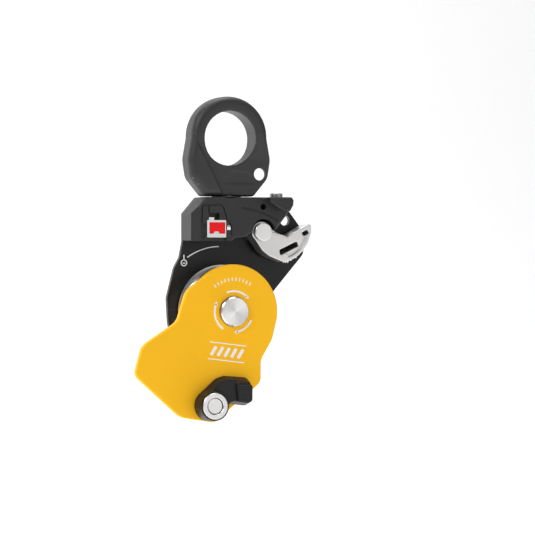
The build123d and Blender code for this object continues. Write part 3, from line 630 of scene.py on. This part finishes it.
@dataclass(frozen=True)
class Stencil:
    """Thin white print on a flat front face.  Angles are degrees clockwise from straight up."""

    face: float
    body: str
    origin: Point
    thickness: float = 0.05 * MM
    proud: float = 0.02 * MM
    circle_steps: int = 240
    corner_steps: int = 4
    tip_rounding: float = 0.15
    tip_corner_steps: int = 3
    tip_share: float = 1.3

    def _place(self, spot: Point) -> Place:
        """The place in space of a spot given about the stencil's origin."""
        return (self.origin[0] + spot[0], self.face - self.proud, self.origin[1] + spot[1])

    def bar(self, name: str, spot: Point, size: Point, tilt: float = 0.0,
            rounding: float = 0.2) -> bpy.types.Object:
        """Print a straight bar with rounded corners.

        Args:
            name: The bar's name.
            spot: Its centre.
            size: Its width and height.
            tilt: How far it leans clockwise, in degrees.
            rounding: Each corner's radius as a share of the shorter side.

        Returns:
            The flat bar.
        """
        deselect()
        turn = (FLAT_FRONT[0], math.radians(tilt), 0.0)
        bpy.ops.mesh.primitive_plane_add(size=1.0, location=self._place(spot), rotation=turn)
        bpy.context.active_object.scale = (size[0], size[1], 1.0)
        piece = settle(name)
        bpy.ops.object.mode_set(mode="EDIT")
        bpy.ops.mesh.select_all(action="SELECT")
        bpy.ops.mesh.bevel(affect="VERTICES", offset=min(size) * rounding, segments=self.corner_steps)
        bpy.ops.object.mode_set(mode="OBJECT")
        return piece

    def band(self, name: str, spot: Point, radius: float, width: float, start: float,
             end: float) -> bpy.types.Object:
        """Print a stretch of a ring.

        Args:
            name: The band's name.
            spot: The ring's centre.
            radius: The radius of the band's middle line.
            width: The band's width.
            start: The angle at which it starts.
            end: The angle at which it ends, further clockwise.

        Returns:
            The flat band.
        """
        deselect()
        centre = self._place(spot)
        inner = radius - width / 2
        bpy.ops.mesh.primitive_circle_add(vertices=self.circle_steps, radius=inner, location=centre,
                                          rotation=FLAT_FRONT, fill_type="NOTHING")
        piece = settle(name)
        bpy.ops.object.mode_set(mode="EDIT")
        mesh = bmesh.from_edit_mesh(piece.data)
        for vertex in mesh.verts:
            angle = math.degrees(math.atan2(vertex.co.x - centre[0], vertex.co.z - centre[2]))
            vertex.select_set((angle - start) % 360.0 > end - start)
        mesh.select_flush_mode()
        bmesh.update_edit_mesh(piece.data)
        bpy.ops.mesh.delete(type="VERT")
        bpy.ops.mesh.select_all(action="SELECT")
        bpy.ops.mesh.extrude_region_move(TRANSFORM_OT_translate={"value": (0.0, 0.0, 0.0)})
        spread = (radius + width / 2) / inner
        bpy.ops.transform.resize(value=(spread, 1.0, spread), center_override=centre)
        bpy.ops.object.mode_set(mode="OBJECT")
        return piece

    def tip(self, name: str, spot: Point, size: float, heading: float) -> bpy.types.Object:
        """Print an arrow's head.

        Args:
            name: The head's name.
            spot: Its centre.
            size: Its corner radius.
            heading: Where it points, in degrees clockwise from straight up.

        Returns:
            The flat head.
        """
        deselect()
        turn = (FLAT_FRONT[0], math.radians(heading), 0.0)
        bpy.ops.mesh.primitive_circle_add(vertices=3, radius=size, location=self._place(spot),
                                          rotation=turn, fill_type="NGON")
        piece = settle(name)
        bpy.ops.object.mode_set(mode="EDIT")
        bpy.ops.mesh.select_all(action="SELECT")
        bpy.ops.mesh.bevel(affect="VERTICES", offset=size * self.tip_rounding,
                           segments=self.tip_corner_steps)
        bpy.ops.object.mode_set(mode="OBJECT")
        return piece

    def arrow(self, name: str, radius: float, width: float, start: float,
              end: float) -> list[bpy.types.Object]:
        """Print a curved arrow that runs clockwise about the origin.

        Args:
            name: The arrow's name.
            radius: Its middle line's radius.
            width: Its line's width.
            start: The angle at which it starts.
            end: The angle at which its head sits.

        Returns:
            The arrow's line and head.
        """
        turn = math.radians(end)
        spot = (radius * math.sin(turn), radius * math.cos(turn))
        return [self.band(f"{name}_line", (0.0, 0.0), radius, width, start, end),
                self.tip(f"{name}_head", spot, width * self.tip_share, end + QUARTER_TURN)]

    def press(self, name: str, shapes: list[bpy.types.Object]) -> bpy.types.Object:
        """Join flat shapes into one print, give it its thickness and lay it on its body.

        Args:
            name: The print's name.
            shapes: Its flat shapes.

        Returns:
            The finished print.
        """
        take(shapes[0])
        for shape in shapes[1:]:
            shape.select_set(True)
        if len(shapes) > 1:
            bpy.ops.object.join()
        piece = bpy.context.active_object
        piece.name = name
        bpy.ops.object.mode_set(mode="EDIT")
        mesh = bmesh.from_edit_mesh(piece.data)
        for face in mesh.faces:
            face.select_set(face.normal.y > 0.0)
        bmesh.update_edit_mesh(piece.data)
        bpy.ops.mesh.flip_normals()
        bpy.ops.object.mode_set(mode="OBJECT")
        modify(piece, "SOLIDIFY", thickness=self.thickness, offset=-1.0)
        paint(piece, WHITE_PRINT)
        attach(piece, self.body)
        LOG.info("%s printed on %s", name, self.body)
        return piece


# ------------------------------------------------------------------ the object


def middle(node: str) -> Vector:
    """The centre of a CAD node's box."""
    low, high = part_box(node)
    return (Vector(low) + Vector(high)) / 2


def front_of(node: str) -> float:
    """The depth of a CAD node's foremost face."""
    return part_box(node)[0][1]


def axle_spot() -> Point:
    """The sheave axle's place as (x, z)."""
    axle = middle("plate_bushing")
    return (axle.x, axle.z)


@dataclass
class Assembly:
    """A sub-assembly: it dresses its CAD nodes, then models the pieces that it adds."""

    finishes: dict[str, Finish] = field(default_factory=dict)

    def build(self) -> None:
        """Dress the CAD nodes and make the sub-assembly's own pieces."""
        for node, finish in self.finishes.items():
            dress(node, finish)
        self.model()

    def model(self) -> None:
        """Make the sub-assembly's own pieces; a plain one has none."""

    def stand_in(self, piece: bpy.types.Object, node: str, body: str, slot: str, finish: Finish) -> None:
        """Let a finished piece stand for a CAD node.

        Args:
            piece: The finished piece.
            node: The CAD node that it stands for.
            body: The body that it rides on.
            slot: Not used.
            finish: Its finish.
        """
        paint(piece, finish)
        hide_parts(node)
        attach(piece, body)
        LOG.info("%s stands for %s with %d faces", piece.name, node, len(piece.data.polygons))


@dataclass
class Swivel(Assembly):
    """The forged eye, its bolt and its washers."""

    finishes: dict[str, Finish] = field(
        default_factory=lambda: {"swivel_bolt": ZINC_STEEL, "swivel_washers": DARK_STEEL})
    softening: Softening = Softening(skin=0.42 * MM, rounds=5)

    def model(self) -> None:
        """Forge the eye with soft edges."""
        eye = self.softening.copy("swivel_eye", "forged_eye")
        self.stand_in(eye, "swivel_eye", "eye", "dark_forged_alloy", FORGED)


@dataclass
class Head(Assembly):
    """The head block with its hook, rivets and printed lock sign."""

    finishes: dict[str, Finish] = field(default_factory=lambda: {
        "head_block": HEAD, "hook_block": HEAD, "head_rivets": ZINC_STEEL, "hook_screw": ZINC_STEEL})
    sign_spot: Point = (-1.4 * MM, 42.6 * MM)
    sign_size: Point = (1.9 * MM, 1.5 * MM)
    shackle_radius: float = 0.65 * MM
    shackle_width: float = 0.28 * MM

    def model(self) -> None:
        """Print the small lock sign beside the indicator."""
        stencil = Stencil(front_of("head_block"), "frame", axle_spot())
        shackle_spot = (self.sign_spot[0], self.sign_spot[1] + self.sign_size[1] / 2)
        stencil.press("lock_sign", [
            stencil.bar("lock_body", self.sign_spot, self.sign_size),
            stencil.band("lock_shackle", shackle_spot, self.shackle_radius, self.shackle_width,
                         -QUARTER_TURN, QUARTER_TURN)])


@dataclass
class Indicator(Assembly):
    """The sprung slider that shows whether the moving plate is locked."""

    finishes: dict[str, Finish] = field(default_factory=lambda: {
        "indicator_slider": SATIN_STEEL, "indicator_red_tab": RED, "indicator_spring": WIRE})


@dataclass
class FixedPlate(Assembly):
    """The fixed side plate with its printed rope arc and load sign.  The sign's shares are of its ring."""

    finishes: dict[str, Finish] = field(default_factory=lambda: {"fixed_side_plate": BLACK_PLATE})
    arc_centre: Point = (0.0, 1.0 * MM)
    arc_radius: float = 32.5 * MM
    arc_span: Point = (-34.5, -1.0)
    line_width: float = 0.55 * MM
    sign_spot: Point = (-20.2 * MM, 25.0 * MM)
    ring_radius: float = 1.5 * MM
    ring_span: Point = (0.0, 359.0)
    stem_rise: float = 1.9
    stem_height: float = 1.8
    foot_drop: float = 0.1

    def model(self) -> None:
        """Print the arc that marks the rope's path and the load sign at its start."""
        stencil = Stencil(front_of("fixed_side_plate"), "frame", axle_spot())
        arc = stencil.band("rope_arc_line", self.arc_centre, self.arc_radius, self.line_width, *self.arc_span)
        stencil.press("rope_arc", [arc])
        x, z = self.sign_spot
        reach = self.ring_radius
        stencil.press("load_sign", [
            stencil.band("load_ring", (x, z), reach, self.line_width, *self.ring_span),
            stencil.bar("load_stem", (x, z + self.stem_rise * reach),
                        (self.line_width, self.stem_height * reach)),
            stencil.bar("load_foot", (x, z - self.foot_drop * reach), (reach, self.line_width))])


@dataclass
class SheaveSet(Assembly):
    """The sheave, its two ball bearings, the axle and the nut."""

    finishes: dict[str, Finish] = field(default_factory=lambda: {
        "bearing_inner_races": BEARING, "bearing_outer_races": BEARING, "bearing_balls": BEARING,
        "bearing_cages": CAGE, "bearing_seals": SEAL, "axle_nut": ZINC_STEEL, "axle_spacers": ZINC_STEEL})
    cap_face_radius: float = 7.0 * MM
    cap_ring_step: float = 0.28 * MM
    cap_ring_depth: float = 0.05 * MM
    cap_rise: float = 0.04 * MM
    cap_steps: int = 96

    def model(self) -> None:
        """Turn the sheave and the axle, with a painted sheen round the axle in their colour, and cut the fine
        rings in the axle's cap.
        """
        centre = axle_spot()
        dress("sheave", turned("turned_sheave_painted_sheen", centre))
        dress("sheave_axle", turned("turned_axle_painted_sheen", centre))
        self._cap_face(centre)

    def _cap_face(self, centre: Point) -> None:
        """Cut two fine rings near the edge of the axle cap's face."""
        deselect()
        place = (centre[0], front_of("sheave_axle") - self.cap_rise, centre[1])
        bpy.ops.mesh.primitive_circle_add(vertices=self.cap_steps, radius=self.cap_face_radius,
                                          location=place, rotation=FLAT_FRONT, fill_type="NGON")
        face = settle("axle_cap_face")
        bpy.ops.object.mode_set(mode="EDIT")
        bpy.ops.mesh.select_all(action="SELECT")
        for depth in (self.cap_ring_depth, -self.cap_ring_depth) * 2:
            bpy.ops.mesh.inset(thickness=self.cap_ring_step)
            bpy.ops.mesh.extrude_region_move(TRANSFORM_OT_translate={"value": (0.0, depth, 0.0)})
        bpy.ops.object.mode_set(mode="OBJECT")
        modify(face, "SOLIDIFY", thickness=2 * self.cap_ring_depth, offset=-1.0)
        # The cap face's turned finish paints a sheen round the axle into its colour.
        paint(face, turned("turned_axle_painted_sheen", centre))
        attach(face, "frame")
        LOG.info("axle cap face turned")


@dataclass
class CamSet(Assembly):
    """The toothed cam, its pivot and its spring."""

    finishes: dict[str, Finish] = field(default_factory=lambda: {
        "cam_bushing": BRONZE, "cam_pivot_pin": SATIN_STEEL, "cam_pin_spacer": ZINC_STEEL,
        "cam_pin_clip": WIRE, "cam_spring": WIRE})
    softening: Softening = Softening(skin=0.24 * MM, rounds=4)

    def model(self) -> None:
        """Cast the cam with soft edges."""
        cam = self.softening.copy("cam", "cast_cam")
        self.stand_in(cam, "cam", "cam", "silver_alloy", CAST_STEEL)


@dataclass
class SidePlate(Assembly):
    """The swinging side plate with its printed arrows and marks."""

    finishes: dict[str, Finish] = field(
        default_factory=lambda: {"moving_side_plate": GOLD, "plate_bushing": BRONZE})
    arrow_radius: float = 10.5 * MM
    arrow_width: float = 0.95 * MM
    arrow_spans: tuple[Point, ...] = ((-22.0, 45.0), (115.0, 172.0), (212.0, 293.0))
    tick_radius: float = 16.6 * MM
    tick_size: Point = (0.55 * MM, 1.7 * MM)
    tick_count: int = 11
    tick_span: Point = (-38.0, 32.0)
    mark_spot: Point = (-3.7 * MM, -20.8 * MM)
    mark_tilt: float = 7.0
    mark_line: Point = (20.0 * MM, 0.5 * MM)
    mark_rise: float = 4.3 * MM
    stripe_size: Point = (1.6 * MM, 5.2 * MM)
    stripe_count: int = 5
    stripe_step: float = 3.7 * MM
    stripe_lean: float = 25.0

    def model(self) -> None:
        """Print the arrows round the axle, the row of ticks and the striped mark."""
        stencil = Stencil(front_of("moving_side_plate"), "side_plate", axle_spot())
        for number, (start, end) in enumerate(self.arrow_spans, 1):
            name = f"swing_arrow_{number}"
            stencil.press(name, stencil.arrow(name, self.arrow_radius, self.arrow_width, start, end))
        self._ticks(stencil)
        self._mark(stencil)

    def _ticks(self, stencil: Stencil) -> None:
        """Print a curved row of plain ticks above the axle."""
        ticks = []
        first, last = self.tick_span
        for number in range(self.tick_count):
            angle = first + (last - first) * number / (self.tick_count - 1)
            turn = math.radians(angle)
            spot = (self.tick_radius * math.sin(turn), self.tick_radius * math.cos(turn))
            ticks.append(stencil.bar(f"tick_{number}", spot, self.tick_size, angle))
        stencil.press("plate_ticks", ticks)

    def _mark(self, stencil: Stencil) -> None:
        """Print two thin lines with a row of leaning stripes between them."""
        turn = math.radians(self.mark_tilt)
        along = Vector((math.cos(turn), -math.sin(turn)))
        across = Vector((math.sin(turn), math.cos(turn)))
        centre = Vector(self.mark_spot)
        shapes = [stencil.bar(f"mark_line_{side:+d}", tuple(centre + across * side * self.mark_rise),
                              self.mark_line, self.mark_tilt) for side in (-1, 1)]
        for number in range(self.stripe_count):
            offset = (number - (self.stripe_count - 1) / 2) * self.stripe_step
            shapes.append(stencil.bar(f"stripe_{number}", tuple(centre + along * offset), self.stripe_size,
                                      self.mark_tilt + self.stripe_lean))
        stencil.press("plate_mark", shapes)


@dataclass
class Catch(Assembly):
    """The catch on the swinging plate: post, lever, bolt, ring and spring."""

    finishes: dict[str, Finish] = field(default_factory=lambda: {
        "catch_post": ZINC_STEEL, "catch_ring": SATIN_STEEL, "catch_bolt": SATIN_STEEL,
        "catch_spring": WIRE})
    softening: Softening = Softening(skin=0.26 * MM, rounds=14)
    thumb_low: Point = (0.2 * MM, -45.6 * MM)
    thumb_high: Point = (7.0 * MM, -37.0 * MM)
    thumb_depth: float = 6.2 * MM
    rib_pitch: float = 1.25 * MM
    rib_height: float = 0.16 * MM
    rib_fade: float = 0.8 * MM

    def model(self) -> None:
        """Mould the lever with soft edges and groove its thumb pad."""
        lever = self.softening.copy("catch_lever", "moulded_lever")
        self._thumb_ribs(lever)
        self.stand_in(lever, "catch_lever", "catch_lever", "black_plastic", LEVER)

    def _thumb_ribs(self, lever: bpy.types.Object) -> None:
        """Press fine grooves into the front of the thumb pad, which leave ribs between them."""
        axle_x, axle_z = axle_spot()
        pad_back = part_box("catch_lever")[1][1] - self.thumb_depth
        for vertex in lever.data.vertices:
            x = vertex.co.x - axle_x
            z = vertex.co.z - axle_z
            inward = min(x - self.thumb_low[0], self.thumb_high[0] - x,
                         z - self.thumb_low[1], self.thumb_high[1] - z)
            if inward > 0.0 and vertex.co.y < pad_back:
                fade = min(1.0, inward / self.rib_fade)
                wave = math.cos(2.0 * math.pi * z / self.rib_pitch)
                vertex.co.y += self.rib_height * fade * (1.0 - wave) / 2.0


ASSEMBLIES: tuple[type[Assembly], ...] = (
    Swivel, Head, Indicator, FixedPlate, SheaveSet, CamSet, SidePlate, Catch)


def main() -> None:
    """Load the frame, build every sub-assembly around it and set up the studio."""
    logging.basicConfig(level=logging.INFO, format="%(message)s")
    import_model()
    WORKSHOP.open()
    for kind in ASSEMBLIES:
        LOG.info("building %s", kind.__name__)
        kind().build()
    Studio().build()


if __name__ == "__main__":
    main()
